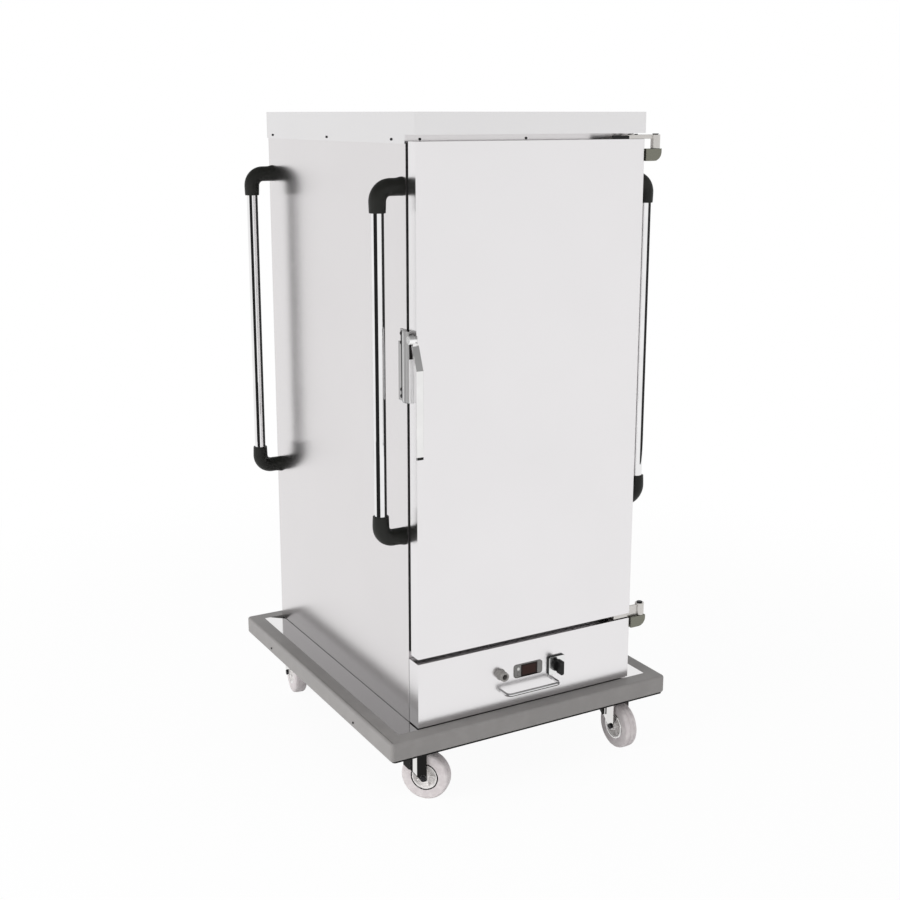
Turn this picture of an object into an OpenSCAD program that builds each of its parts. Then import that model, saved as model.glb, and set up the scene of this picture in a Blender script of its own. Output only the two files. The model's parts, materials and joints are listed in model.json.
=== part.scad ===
// Enclosed meal tray cart: an insulated cabinet with a heating drawer, on a
// bumper base with four castors. Millimetres. +Z up, the door faces -Y, and
// the origin is on the floor, under the middle of the whole cart.

/* [Cabinet] */
// Width of the cabinet over its side walls
body_w = 640; // [620:5:720]
// Depth from the door's front face to the rear wall
body_d = 876; // [800:2:960]
// Height of the cabinet above the deck
body_h = 1490; // [1300:10:1700]
// Thickness of the insulated walls
wall_t = 40; // [34:1:46]
// Thickness of the outer steel sheets
skin_t = 1.2; // [1:0.1:2]
// Thickness of the inner lining sheets
liner_t = 1; // [0.8:0.1:2]
// Height of the top cap's front face
cap_front_h = 51; // [40:1:70]
// Height of the top cap's side skirts
cap_skirt_h = 71; // [60:1:100]
// How far the cap stands proud of each side wall
cap_proud = 2.5; // [2:0.1:5]

/* [Door] */
// Thickness of the door
door_t = 36; // [30:1:45]
// Gap that the gasket fills between the door and the cabinet
gasket_gap = 12.5; // [10:0.5:16]
// Gap between the cap and the top of the door
door_gap_top = 14; // [13:0.5:20]
// Gap between the door and the control panel
door_gap_low = 13; // [12:0.5:18]
// Width of the gasket
gasket_w = 16; // [10:1:24]

/* [Hinges] */
// How far the hinge axis lies outside the door's edge
pivot_out = 37.5; // [36:0.5:44]
// How far the hinge axis lies behind the door's front face
pivot_back = 6; // [5:1:12]
// Diameter of the hinge barrels
barrel_d = 24; // [20:1:28]
// Diameter of the hinge pins
hinge_pin_d = 10; // [8:1:12]
// Thickness of the hinge arms
arm_t = 10; // [8:0.5:11]
// How far each arm reaches over the door
arm_reach = 49; // [40:1:70]
// Height of the bracket legs
leg_h = 30; // [26:1:36]

/* [Latch] */
// Height of the strike plate
strike_h = 173; // [150:1:220]
// Height of the strike plate's lower end above the deck
strike_z = 820; // [700:5:900]
// Width of the lever's strip
lever_w = 18; // [14:1:24]
// Thickness of the lever's strip
lever_t = 4; // [3:0.5:6]
// Length of the lever below its hub
lever_len = 281; // [220:1:320]
// How far the lever's grip stands in front of the door
lever_out = 28; // [24:1:34]
// Radius of the lever's hub
hub_r = 10; // [9:0.5:12]
// Radius of the pin that the lever turns on
lever_pin_r = 4; // [3:0.5:5]
// Thickness of the latch housing on the door's edge
housing_t = 11; // [9:0.5:14]

/* [Push handles] */
// Diameter of the handle tubes
tube_d = 30; // [25:1:34]
// Diameter of the handle elbows
elbow_d = 41; // [38:0.5:43]
// Diameter of the elbows' feet on the wall
elbow_foot_d = 44; // [43:0.5:46]
// Diameter of the elbows' rims around the tubes
elbow_rim_d = 39; // [37:0.5:42]
// Distance from the wall to the tube's axis
handle_out = 62; // [55:1:75]
// Bend radius of the elbows along their axis
bend_r = 32; // [28:1:36]
// Straight length of the elbow around the tube
socket_len = 26; // [20:1:32]
// Height of the upper elbow's axis above the deck
handle_top = 1322; // [1200:2:1400]
// Height of the lower elbow's axis above the deck
handle_low = 484; // [400:2:600]
// Distance from the cabinet's corners to the handles' axes
handle_in = 22; // [22:1:60]

/* [Control panel] */
// Gap between the deck and the control panel
panel_gap = 3; // [1:0.5:4]
// Height of the control panel
panel_h = 171; // [150:1:190]
// Depth of the panel's folded sides
panel_d = 46.5; // [40:0.5:48]
// Depth of the heating drawer behind the panel
drawer_d = 620; // [520:5:700]
// Height of the heating drawer's sides
drawer_h = 150; // [120:1:160]
// Width of the thermostat's bezel
bezel_w = 86; // [74:1:92]
// Height of the thermostat's bezel
bezel_h = 36; // [32:1:42]
// How far the bezel stands in front of the panel
bezel_t = 3; // [2.5:0.5:5]
// Height of the controls' centres above the deck
controls_z = 93; // [85:1:105]
// Width and height of the switch's square plate
switch_w = 49; // [42:1:54]
// Distance of the switch from the panel's middle
switch_x = 84.5; // [84:0.5:110]
// Reach of the switch's knob in front of the panel
knob_out = 33; // [28:1:38]
// Distance of the cable gland from the panel's middle
gland_x = 82; // [70:1:120]
// Diameter of the cable gland
gland_d = 25; // [18:0.5:27]
// Diameter of the cable gland's bore
gland_bore = 15; // [6:0.5:15]
// Length of the cable gland in front of the panel
gland_len = 21; // [18:1:40]
// Diameter of the drawer pull's rod
pull_d = 9; // [8:0.5:12]
// Width of the drawer pull between its legs' axes
pull_w = 158; // [120:2:180]
// Distance of the pull's middle from the panel's middle
pull_x = 0; // [-20:1:20]
// Height of the pull above the deck
pull_z = 48.5; // [40:0.5:56]
// Reach of the pull in front of the panel, to its axis
pull_out = 32; // [28:1:60]

/* [Heater] */
// Diameter of the fan wheel
fan_d = 180; // [140:5:220]
// Height of the fan wheel
fan_h = 36; // [25:1:45]
// Height of the fan motor
motor_h = 60; // [45:1:64]
// Diameter of the fan motor
motor_d = 92; // [70:2:110]
// Diameter of the motor shaft
shaft_d = 8; // [6:0.5:10]
// Diameter of the heating element's rod
element_d = 8.5; // [6.5:0.5:10]
// Mean diameter of the heating element's ring
element_ring = 250; // [240:2:280]

/* [Tray racks] */
// Thickness of the rack uprights, from the lining to the runners
upright_t = 12.2; // [8:0.1:20]
// Distance from one tray level to the next
pitch = 78; // [60:1:78]
// Length of the tray runners
runner_len = 690; // [600:5:720]

/* [Base] */
// Height of the deck above the floor
deck_h = 206; // [204:1:260]
// How far the bumper reaches past each side wall
bumper_side = 96; // [85:1:120]
// How far the bumper reaches in front of the door
bumper_front = 41.3; // [41:0.1:50]
// How far the bumper reaches behind the rear wall
bumper_rear = 43.7; // [42:0.1:60]
// Width of the bumper strip
bumper_w = 40.5; // [34:0.5:41]
// Distance of the bumper's front side screws behind the door's face
bumper_screw_front = 174; // [120:2:240]
// Distance of the bumper's rear side screws from the rear wall
bumper_screw_rear = 150; // [100:2:240]
// Height of the bumper strip
bumper_h = 49; // [40:1:60]
// Thickness of the deck plate
deck_t = 2; // [1.5:0.5:3]
// Width of the chassis tubes
beam_w = 60; // [50:1:80]
// Wall of the chassis tubes
beam_wall = 2; // [1.5:0.5:4]

/* [Castors] */
// Diameter of the castor wheels
wheel_d = 125; // [100:1:130]
// Width of the castor wheels
wheel_w = 36; // [28:1:40]
// Diameter of the wheel rims
rim_d = 70; // [60:1:80]
// Horizontal distance from a castor's pivot to its axle
trail = 44; // [36:1:50]
// Diameter of the axle bolts
axle_d = 12; // [8:1:14]
// Distance of the castor pivots from the middle, sideways
castor_x = 311; // [280:1:320]
// Distance of the front castor pivots behind the door's face
castor_front = 64; // [60:2:120]
// Distance of the rear castor pivots from the rear wall
castor_rear = 54; // [25:1:100]
// Heading of the front left castor at rest, in degrees
heading_fl = -46; // [-180:1:180]
// Heading of the front right castor at rest, in degrees
heading_fr = -90; // [-180:1:180]
// Heading of the rear left castor at rest, in degrees
heading_rl = -100; // [-180:1:180]
// Heading of the rear right castor at rest, in degrees
heading_rr = -82; // [-180:1:180]

/* [Hidden] */
$fn = 64;
eps = 0.01;
run_gap = 0.05;      // radial clearance of a running fit
soft_gap = 0.3;      // gap between a soft part and what it seals on
slide_gap = 0.5;     // gap under a part that slides

half_w = body_w / 2;
front_y = door_t + gasket_gap;              // cabinet's front plane
door_top = body_h - cap_front_h - door_gap_top;
door_low = panel_h + door_gap_low;
flange_w = 35;                              // front flange above and below the opening
liner_x = half_w - wall_t;                  // outside of the inner liner
liner_top = door_top - flange_w;
liner_low = door_low + 20;
liner_back = body_d - wall_t;
foam_top = liner_top + wall_t + 10;

y_front_most = -max(bumper_front, pull_out + pull_d / 2, knob_out, lever_out);
y_rear_most = body_d + bumper_rear;
y_mid = (y_front_most + y_rear_most) / 2;

// air ducts through the chamber's floor: [middle y, width, depth]
duct_in = [420, 150, 150];
duct_out = [liner_back - 60, 380, 40];

// triangular cut-outs at the deck's rear corners: [width, depth]
deck_notch = [39, 35];
gusset_t = 6;                               // what stays of the chassis under them

// hinges
pivot_x = half_w + pivot_out;
leg_gap = 0.3;
top_barrel_low = door_top - 23.5;
low_barrel_low = panel_h + 2;
low_barrel_top = door_low + 22;
bracket_gap = 2.5;                          // between the bracket and the door's side
leaf_t = 6;
leaf_len = 62;
arm_y = [3, 31];                            // front and rear edge of a hinge arm

// latch
hub_z = strike_z + strike_h - 16;
ear_t = 2.5;                                // ear that carries the lever's pin
hub_x = [half_w + ear_t + 0.4, half_w + housing_t + 2];
grip_over = 3;                              // how far the grip laps over the door's front
plate_out = 3.2;                            // thickness of the strike's base plate
plate_reach = [28, 38];                     // its depth behind the front flange, above and below the step
plate_step = 31;                            // from its top down to the step
plate_screw_in = 17;                        // its screws behind the front flange
tier_reach = 4;                             // the raised tier's depth behind the front flange

// handles
handle_y = [front_y + handle_in, body_d - handle_in];

// handles' elbows
foot_len = 10;                              // length of the flare at an elbow's foot
foot_shift = 1.2;                           // how far the flare leans away from the tube

// front of the heating drawer
panel_return = 20;                          // depth of the panel's lower fold
switch_z = controls_z - 4.5;
gland_z = controls_z + 2;
bezel_hole = 4;                             // how far the bezel laps over the panel's cut-out
display_w = 49.5;
display_h = bezel_h - 3.5;
display_x = 2;
display_floor = bezel_t - 1.6;              // bottom of the display's pocket
display_t = 0.8;
key_x = -31;
key_r = 4.1;
key_floor = 0.8;                            // bottom of the keys' pockets
key_travel = 0.8;
pull_bend = 12;
plate_t_switch = 6;                         // black body of the switch's plate
plate_face_t = 1.2;                         // its bright face
fan_gap = 6;                                // between the motor and the fan wheel
drawer_floor = slide_gap + 2;               // upper side of the drawer's floor

// racks
upright_in = liner_x - liner_t - upright_t;
upright_w = 30;
upright_y = [front_y + 90, liner_back - 130];
runner_reach = 25;
runner_t = 1.5;
runner_lip = 12;
first_level = liner_low + 100;
rack_top = liner_top - 2;
levels = floor((rack_top - first_level) / pitch) + 1;

// castors
castor_top = deck_h - bumper_h;
plate_t = 4;
axle_z = wheel_d / 2;
crown_gap = 7;                              // wheel to fork crown
fork_t = 3.5;
fork_in = wheel_w / 2 + 4;                  // inside face of a fork leg
fork_w = fork_in + fork_t;                  // outside face of a fork leg
crown_z = wheel_d + crown_gap;
race_r = 24;
kingpin_r = 6;
axle_cap_r = 7.5;
axle_cap_h = 6;
tyre_shoulder = 10;                         // width of the tyre's rounded shoulder
brake_x = trail - 2;                        // place of the brake's pins in the fork
brake_t = 4;                                // thickness of the brake's lever
brake_z = crown_z - 1 - brake_t / 2;
brake_pin_r = 2.5;
brake_slot = 12.5;                          // half the lever's slot around the kingpin's nut
// pivots: [x, y, heading, has a brake]
castors = [
    [-castor_x, castor_front, heading_fl, true],
    [castor_x, castor_front, heading_fr, true],
    [-castor_x, body_d - castor_rear, heading_rl, false],
    [castor_x, body_d - castor_rear, heading_rr, false]];

steel = [0.86, 0.86, 0.87];
bright = [0.8, 0.8, 0.81];
grey = [0.5, 0.49, 0.48];
black = [0.06, 0.06, 0.06];

// ---------- helpers ----------

// Moves a shape from the door-and-deck frame to the cart's own frame.
module seat() {
    translate([0, -y_mid, deck_h]) children();
}

// A box from its lowest to its highest corner.
module block(lo, hi) {
    translate(lo) cube(hi - lo);
}

// The same shape on the left and on the right.
module both_sides() {
    children();
    mirror([1, 0, 0]) children();
}

// A cylinder along X that starts at a point.
module rod_x(at, r, len) {
    translate(at) rotate([0, 90, 0]) cylinder(r = r, h = len);
}

// A cylinder along -Y that starts at a point.
module rod_out(at, r, len) {
    translate(at) rotate([90, 0, 0]) cylinder(r = r, h = len);
}

// A low round screw head on a wall, with its shank in the wall.
module screw_on_side(side, y, z, lift, r) {
    translate([side * (half_w + lift), y, z]) rotate([0, side * 90, 0]) {
        cylinder(r = r, h = 2);
        translate([0, 0, 2]) cylinder(r1 = r, r2 = r * 0.6, h = 0.8);
    }
}

// A rectangle with rounded corners, centred.
module rounded(w, h, r) {
    for (sx = [-1, 1]) for (sy = [-1, 1])
        translate([sx * (w / 2 - r), sy * (h / 2 - r)]) circle(r);
    square([w - 2 * r, h], center = true);
    square([w, h - 2 * r], center = true);
}

// ---------- cabinet ----------

// Cuts both air ducts through the floor of the chamber.
module air_ducts() {
    for (d = [duct_in, duct_out])
        translate([-d[1] / 2, d[0] - d[2] / 2, panel_h - 5])
            cube([d[1], d[2], liner_low + 30 - panel_h]);
}

module top_cap() {
    w = half_w + cap_proud;
    color(steel) seat() difference() {
        union() {
            block([-w, front_y, body_h - cap_skirt_h], [w, body_d + cap_proud, body_h]);
            block([-w, 0, body_h - cap_front_h], [w, front_y + eps, body_h]);
        }
        block([-half_w - eps, front_y, body_h - cap_skirt_h - 1],
            [half_w + eps, body_d + eps, body_h - skin_t]);
        block([-half_w, skin_t, body_h - cap_front_h + skin_t],
            [half_w, front_y + 2 * eps, body_h - skin_t]);
    }
}

module outer_shell() {
    color(steel) seat() difference() {
        block([-half_w, front_y + skin_t, 0], [half_w, body_d, body_h - skin_t]);
        block([-half_w + skin_t, front_y, -1], [half_w - skin_t, body_d - skin_t, body_h]);
    }
}

module inner_liner() {
    color(bright) seat() difference() {
        block([-liner_x, front_y + skin_t, liner_low - liner_t],
            [liner_x, liner_back, liner_top + liner_t]);
        block([-liner_x + liner_t, front_y, liner_low],
            [liner_x - liner_t, liner_back - liner_t, liner_top]);
        air_ducts();
    }
}

module insulation() {
    color([0.9, 0.86, 0.7]) seat() difference() {
        block([-half_w + skin_t, front_y + skin_t, panel_h + skin_t],
            [half_w - skin_t, body_d - skin_t, foam_top]);
        block([-liner_x, front_y, liner_low - liner_t], [liner_x, liner_back, liner_top + liner_t]);
        air_ducts();
    }
}

module front_frame() {
    color(steel) seat() difference() {
        block([-half_w, front_y, panel_h], [half_w, front_y + skin_t, body_h - skin_t]);
        block([-liner_x + liner_t, front_y - 1, liner_low],
            [liner_x - liner_t, front_y + skin_t + 1, liner_top]);
    }
}

module bay_ceiling() {
    color(steel) seat() difference() {
        block([-half_w + skin_t, front_y + skin_t, panel_h],
            [half_w - skin_t, body_d - skin_t, panel_h + skin_t]);
        air_ducts();
    }
}

// Small screws of the cap, the front flange, the strike and the hinge brackets.
module body_screws() {
    cap_screw_z = body_h - cap_skirt_h + 9;
    cap_screw_ends = [114, body_d - 40];
    cap_screw_y = [cap_screw_ends[0], (cap_screw_ends[0] + cap_screw_ends[1]) / 2, cap_screw_ends[1]];
    front_screw_x = half_w - 37;
    strike_screw_z = [11, 27, strike_h - 33, strike_h - 6];
    color([0.2, 0.2, 0.2]) seat() {
        for (side = [-1, 1]) for (y = cap_screw_y)
            screw_on_side(side, y, cap_screw_z, cap_proud, 3);
        for (x = [-front_screw_x, 4, front_screw_x])
            rod_out([x, front_y, door_top + 4], 3, 2);
        for (z = strike_screw_z)
            screw_on_side(-1, front_y + plate_screw_in, strike_z + z, plate_out, 3.2);
        for (z = [top_leg_mid(), low_leg_mid()]) for (y = [24, 48])
            screw_on_side(1, front_y + y, z, leaf_t, 4);
    }
}

// ---------- base ----------

module deck_plate() {
    w = half_w + bumper_side - bumper_w;
    y0 = -bumper_front + bumper_w;
    y1 = body_d + bumper_rear - bumper_w;
    notch = [half_w + deck_notch[0], y1 - deck_notch[1]];
    color([0.6, 0.6, 0.59]) seat() translate([0, 0, -deck_t]) linear_extrude(deck_t)
        polygon([[-w, y0], [w, y0], [w, y1], [notch[0], y1], [half_w, notch[1]],
            [-half_w, notch[1]], [-notch[0], y1], [-w, y1]]);
}

module chassis() {
    w = half_w + bumper_side - bumper_w;
    y0 = -bumper_front + bumper_w;
    y1 = body_d + bumper_rear - bumper_w;
    beam_y = [castor_front, body_d / 2, body_d - castor_rear];
    color([0.55, 0.55, 0.56]) seat() difference() {
        union() {
            for (y = beam_y)
                block([-w, max(y0, y - beam_w / 2), -bumper_h], [w, min(y1, y + beam_w / 2), -deck_t]);
            both_sides() block([w - 95, y0, -bumper_h], [w - 60, y1, -deck_t]);
        }
        for (y = beam_y)
            block([-w - 1, max(y0, y - beam_w / 2) + beam_wall, -bumper_h + beam_wall],
                [w + 1, min(y1, y + beam_w / 2) - beam_wall, -deck_t - beam_wall]);
        // the rear beam is cut away under the deck's rear cut-outs
        both_sides() block([half_w - 4, y1 - deck_notch[1] - 3, -bumper_h + gusset_t],
            [half_w + deck_notch[0] + 3, y1 + 1, 1]);
    }
}

module bumper() {
    w = 2 * (half_w + bumper_side);
    d = body_d + bumper_rear + bumper_front;
    color(grey) seat()
        translate([0, (body_d + bumper_rear - bumper_front) / 2, -bumper_h])
        linear_extrude(bumper_h) difference() {
            rounded(w, d, 9);
            square([w - 2 * bumper_w, d - 2 * bumper_w], center = true);
        }
}

module bumper_screws() {
    color([0.2, 0.2, 0.2]) seat() for (side = [-1, 1])
        for (y = [bumper_screw_front, body_d - bumper_screw_rear])
            screw_on_side(side, y, -bumper_h * 0.65, bumper_side, 2.8);
}

// ---------- handles ----------

// One elbow: wall end along +X from the wall, tube end along `up`.
module elbow(up) {
    r = elbow_d / 2;
    wall_len = handle_out - bend_r;
    difference() {
        union() {
            rotate([0, 90, 0]) cylinder(r = r, h = wall_len);
            translate([0, 0, -up * foot_shift]) rotate([0, 90, 0])
                cylinder(r1 = elbow_foot_d / 2, r2 = r - 2, h = foot_len);
            translate([wall_len, 0, up * bend_r]) rotate([90, 0, 0])
                rotate([0, 0, up > 0 ? -90 : 0])
                rotate_extrude(angle = 90) translate([bend_r, 0]) circle(r);
            translate([handle_out, 0, up * bend_r]) rotate([up > 0 ? 0 : 180, 0, 0])
                cylinder(r1 = r, r2 = elbow_rim_d / 2, h = socket_len);
        }
        translate([handle_out, 0, up > 0 ? bend_r + 2 : -bend_r - socket_len - 1])
            cylinder(r = tube_d / 2, h = socket_len - 1);
    }
}

module handle_elbows() {
    color(black) seat() both_sides() for (y = handle_y)
        translate([half_w, y, 0]) {
            translate([0, 0, handle_top]) elbow(-1);
            translate([0, 0, handle_low]) elbow(1);
        }
}

module handle_tubes() {
    tube_low = handle_low + bend_r + 2;
    tube_top = handle_top - bend_r - 2;
    color(bright) seat() both_sides() for (y = handle_y)
        translate([half_w + handle_out, y, tube_low]) difference() {
            cylinder(r = tube_d / 2, h = tube_top - tube_low);
            translate([0, 0, -1]) cylinder(r = tube_d / 2 - 2, h = tube_top - tube_low + 2);
        }
}

// ---------- hinges ----------

function top_leg_mid() = top_barrel_low - leg_gap - leg_h / 2;
function low_leg_mid() = low_barrel_low - leg_gap - leg_h / 2;

// A bracket whose leg carries a pin at the hinge axis; z is the leg's top.
module bracket(z) {
    x0 = half_w + bracket_gap;
    r = barrel_d / 2;
    corner = 22;
    difference() {
        union() {
            // leg beside the door's edge, with a rounded lower outer corner
            translate([0, pivot_back + r, z - leg_h]) rotate([90, 0, 0]) linear_extrude(2 * r)
                difference() {
                    translate([x0, 0]) square([pivot_x + r - x0, leg_h]);
                    translate([pivot_x + r - corner, 0]) difference() {
                        translate([0, -1]) square([corner + 1, corner + 1]);
                        translate([0, corner]) circle(corner);
                    }
                }
            // web along the door's edge to the leaf on the wall
            block([x0, pivot_back, z - leg_h], [x0 + leaf_t, front_y + 8, z]);
            block([half_w, front_y + 1, z - leg_h], [half_w + leaf_t, front_y + leaf_len, z]);
        }
        translate([pivot_x, pivot_back, z - leg_h - 1])
            cylinder(d = hinge_pin_d, h = leg_h + 2);
    }
}

module hinge_brackets() {
    color([0.55, 0.54, 0.5]) seat() {
        bracket(top_barrel_low - leg_gap);
        bracket(low_barrel_low - leg_gap);
    }
}

module hinge_pins() {
    top_len = leg_h + leg_gap + door_top + arm_t - top_barrel_low + 0.6;
    low_len = leg_h + leg_gap + low_barrel_top - low_barrel_low + 0.6;
    color([0.3, 0.3, 0.28]) seat() translate([pivot_x, pivot_back, 0]) {
        translate([0, 0, top_barrel_low - leg_gap - leg_h])
            cylinder(d = hinge_pin_d, h = top_len);
        translate([0, 0, low_barrel_low - leg_gap - leg_h])
            cylinder(d = hinge_pin_d, h = low_len);
        translate([0, 0, low_barrel_low - leg_gap - leg_h + low_len])
            cylinder(d = hinge_pin_d + 6, h = 2);
        translate([0, 0, top_barrel_low - leg_gap - leg_h + top_len])
            cylinder(d = hinge_pin_d + 6, h = 2);
    }
}

// A flat arm on the door's edge that ends in a barrel around the pin.
module arm(arm_low, barrel_low, barrel_top) {
    r = barrel_d / 2;
    x0 = half_w - arm_reach;
    difference() {
        union() {
            block([x0, arm_y[0], arm_low], [pivot_x, arm_y[1], arm_low + arm_t]);
            translate([pivot_x, pivot_back, barrel_low]) cylinder(r = r, h = barrel_top - barrel_low);
            translate([pivot_x, arm_y[1] - r, arm_low]) cylinder(r = r, h = arm_t);
        }
        translate([pivot_x, pivot_back, barrel_low - 1])
            cylinder(d = hinge_pin_d + 2 * run_gap, h = barrel_top - barrel_low + 2);
    }
}

module hinge_arms() {
    color([0.62, 0.6, 0.56]) seat() {
        arm(door_top, top_barrel_low, door_top + arm_t);
        arm(low_barrel_low, low_barrel_low, low_barrel_top);
        // spacer between the lower arm and the door's underside
        block([half_w - arm_reach, arm_y[0], low_barrel_low + arm_t - eps],
            [half_w - 4, arm_y[1], door_low]);
        // gusset from the lower barrel to the door's side
        block([half_w + 0.5, pivot_back - 3, low_barrel_low + arm_t - eps],
            [pivot_x - barrel_d / 2 + 1, pivot_back + 3, low_barrel_top - 4]);
    }
}

module hinge_arm_screws() {
    screw_in = [14, 34];                    // from the door's edge
    color([0.25, 0.25, 0.24]) seat() for (x = screw_in) {
        translate([half_w - x, 17, door_top + arm_t]) cylinder(r = 4.5, h = 2);
        translate([half_w - x, 17, low_barrel_low - 1]) cylinder(r = 4.5, h = 1);
    }
}

// ---------- door ----------

module door_skin() {
    color(steel) seat() difference() {
        block([-half_w, 0, door_low], [half_w, door_t, door_top]);
        block([-half_w + skin_t, skin_t, door_low + skin_t],
            [half_w - skin_t, door_t + 1, door_top - skin_t]);
    }
}

module door_core() {
    color([0.9, 0.86, 0.7]) seat()
        block([-half_w + skin_t, skin_t, door_low + skin_t],
            [half_w - skin_t, door_t - liner_t, door_top - skin_t]);
}

module door_liner() {
    color(bright) seat()
        block([-half_w + skin_t, door_t - liner_t, door_low + skin_t],
            [half_w - skin_t, door_t, door_top - skin_t]);
}

module door_gasket() {
    inset = 4;
    color([0.12, 0.12, 0.12]) seat() difference() {
        block([-half_w + inset, door_t, door_low + inset],
            [half_w - inset, front_y - soft_gap, door_top - inset]);
        block([-half_w + inset + gasket_w, door_t - 1, door_low + inset + gasket_w],
            [half_w - inset - gasket_w, front_y + 1, door_top - inset - gasket_w]);
    }
}

// ---------- latch ----------

// Strike on the left wall: a screwed plate with a raised tier over the gap.
module latch_strike() {
    tier_y = [door_t + 0.8, front_y + tier_reach];
    step_z = strike_z + strike_h - plate_step;
    z1 = strike_z + strike_h;
    color([0.62, 0.61, 0.61]) seat() {
        block([-half_w - plate_out, front_y, strike_z], [-half_w, front_y + plate_reach[0], z1]);
        block([-half_w - plate_out, front_y + plate_reach[0] - eps, strike_z],
            [-half_w, front_y + plate_reach[1], step_z]);
        block([-half_w - housing_t, tier_y[0], strike_z], [-half_w - plate_out + eps, tier_y[1], z1]);
    }
}

// Long housing on the door's left edge, with an ear forward for the pin.
module latch_housing() {
    y0 = hub_r + 7.5;
    color([0.7, 0.7, 0.7]) seat() difference() {
        union() {
            block([-half_w - housing_t, y0, strike_z + 3], [-half_w, door_t - 0.8, strike_z + strike_h]);
            block([-half_w - ear_t, -5, hub_z - 9], [-half_w, y0 + eps, hub_z + 9]);
        }
        rod_x([-half_w - ear_t - 1, 0, hub_z], lever_pin_r, ear_t + 2);
    }
}

module latch_pin() {
    color([0.3, 0.3, 0.3]) seat() {
        rod_x([-hub_x[1] - 0.4, 0, hub_z], lever_pin_r, hub_x[1] + 0.4 - half_w);
        rod_x([-hub_x[1] - 1.9, 0, hub_z], lever_pin_r + 2, 1.5 + eps);
    }
}

// Strip lever: hub, slanted neck and upright grip in front of the door's edge.
module latch_lever() {
    neck_z = hub_z - 71;
    foot_z = hub_z - lever_len;
    back = -lever_out + lever_t;
    color(bright) seat() difference() {
        union() {
            rod_x([-hub_x[1], 0, hub_z], hub_r, hub_x[1] - hub_x[0]);
            // neck between the hub and the strip
            translate([-hub_x[1], 0, 0]) rotate([90, 0, 90]) linear_extrude(hub_x[1] - hub_x[0])
                polygon([[-8, hub_z], [5, hub_z - 5], [-1, hub_z - 19], [-6, hub_z - 19]]);
            // strip: slanted down and forward, then straight down
            translate([-half_w + grip_over - lever_w, 0, 0]) rotate([90, 0, 90])
                linear_extrude(lever_w) polygon([[-1, hub_z - 16], [back, neck_z], [back, foot_z],
                    [-lever_out, foot_z], [-lever_out, neck_z + 1.5], [-6, hub_z - 13]]);
        }
        rod_x([-hub_x[1] - 1, 0, hub_z], lever_pin_r + run_gap, hub_x[1] - hub_x[0] + 2);
    }
}

// ---------- control panel and heating drawer ----------

module control_panel() {
    low = panel_gap;
    bail_feet = [pull_x - pull_w / 2, pull_x + pull_w / 2];
    color(steel) seat() difference() {
        block([-half_w, 0, low], [half_w, panel_d, panel_h]);
        block([-half_w + skin_t, skin_t, low + skin_t],
            [half_w - skin_t, panel_d + 1, panel_h - skin_t]);
        // the lower return is short, so that the drawer's floor fits behind it
        block([-half_w + skin_t, panel_return, low - 1],
            [half_w - skin_t, panel_d + 1, low + skin_t + 1]);
        translate([0, 0, controls_z]) rotate([90, 0, 0]) translate([0, 0, -5])
            linear_extrude(10) rounded(bezel_w - 2 * bezel_hole, bezel_h - 2 * bezel_hole, 2);
        rod_out([switch_x, 5, switch_z], 11, 10);
        rod_out([-gland_x, 5, gland_z], gland_d / 2 - 3, 10);
        for (x = bail_feet) rod_out([x, 5, pull_z], pull_d / 2 - 2, 10);
    }
}

module drawer_tray() {
    x = half_w - 12;
    color([0.7, 0.7, 0.72]) seat() difference() {
        block([-x, skin_t, slide_gap], [x, drawer_d, drawer_h]);
        block([-x + skin_t, 0, drawer_floor], [x - skin_t, drawer_d - skin_t, drawer_h + 1]);
        // the floor's front edge stays behind the panel's lower return
        block([-x - 1, 0, 0], [x + 1, panel_return + 0.5, panel_gap + skin_t + 0.5]);
    }
}

module thermostat_bezel() {
    color([0.42, 0.41, 0.4]) seat() translate([0, 0, controls_z]) rotate([90, 0, 0])
        difference() {
            union() {
                linear_extrude(bezel_t - 1) rounded(bezel_w, bezel_h, 8);
                translate([0, 0, bezel_t - 1]) linear_extrude(1) rounded(bezel_w - 2, bezel_h - 2, 7);
                translate([0, 0, -45]) linear_extrude(45.5)
                    rounded(bezel_w - 2 * bezel_hole - 1, bezel_h - 2 * bezel_hole - 1, 1);
            }
            translate([display_x, 0, display_floor]) linear_extrude(bezel_t)
                square([display_w + 0.6, display_h + 0.6], center = true);
            for (z = [-7, 7]) translate([key_x, z, key_floor]) cylinder(r = key_r + 0.3, h = bezel_t);
        }
}

module thermostat_display() {
    color([0.2, 0.12, 0.1]) seat() translate([display_x, -display_floor, controls_z])
        rotate([90, 0, 0]) linear_extrude(display_t) square([display_w, display_h], center = true);
}

module key(dz) {
    lift = key_floor + key_travel + 0.1;
    color([0.6, 0.6, 0.58]) seat()
        rod_out([key_x, -lift, controls_z + dz], key_r, bezel_t + 1 - lift);
}

module key_up() { key(7); }

module key_down() { key(-7); }

module switch_plate() {
    color([0.3, 0.3, 0.3]) seat() difference() {
        union() {
            translate([switch_x, 0, switch_z]) rotate([90, 0, 0])
                linear_extrude(plate_t_switch) rounded(switch_w, switch_w, 4);
            translate([switch_x, 0, switch_z]) rotate([90, 0, 0])
                translate([0, 0, plate_t_switch]) linear_extrude(plate_face_t)
                rounded(switch_w - 2, switch_w - 2, 3);
            rod_out([switch_x, 50, switch_z], 10.8, 50);
        }
        rod_out([switch_x, 30, switch_z], 3 + run_gap, 60);
    }
}

// Rotary knob: round skirt, tall grip bar and its spindle.
module switch_knob() {
    start = plate_t_switch + plate_face_t + soft_gap;
    skirt = 7;
    skirt_r = 15;
    grip = [11, 38];                        // width and height
    color(black) seat() {
        rod_out([switch_x, -start, switch_z], skirt_r, skirt);
        rod_out([switch_x, 20, switch_z], 3, 20 + start + eps);
        translate([switch_x, -start - skirt + eps, switch_z]) rotate([90, 0, 0])
            linear_extrude(knob_out - start - skirt) rounded(grip[0], grip[1], 4);
    }
}

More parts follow.
